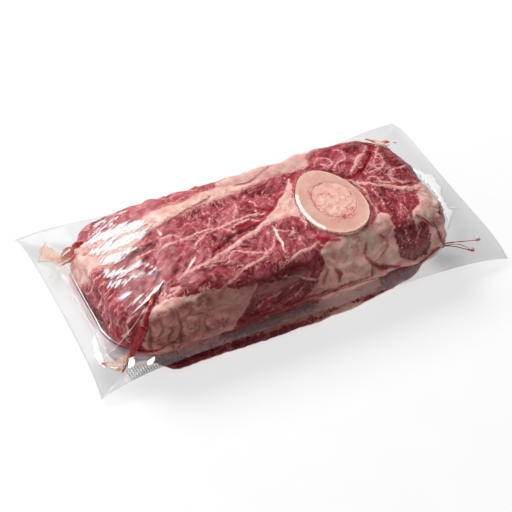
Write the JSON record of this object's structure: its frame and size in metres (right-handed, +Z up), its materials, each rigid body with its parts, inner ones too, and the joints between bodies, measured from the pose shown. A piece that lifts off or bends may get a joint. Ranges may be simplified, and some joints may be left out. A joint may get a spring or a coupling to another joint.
{
  "type": "vacuum-packed raw beef shank",
  "caption": "Thick raw beef shank cut across the leg, with its oval marrow bone, sealed tight in a clear flat vacuum bag with a thin margin all round.",
  "frame": {"origin": "middle of the bag's outline, on the plane that the pack lies on", "axes": "+X along the pack's length towards the bone, +Y across it to the back, +Z up"},
  "size_m": [0.3, 0.165, 0.057],
  "materials": {
    "beef": "wet raw muscle with cream-pink fat, under film",
    "bone": "sawn fresh bone, damp",
    "marrow": "soft fatty marrow with red flecks",
    "film": "clear glossy vacuum film, slightly hazy"
  },
  "bodies": {
    "root": {"beef": "beef", "bone": "bone", "marrow": "marrow", "bag": "film"}
  },
  "joints": []
}
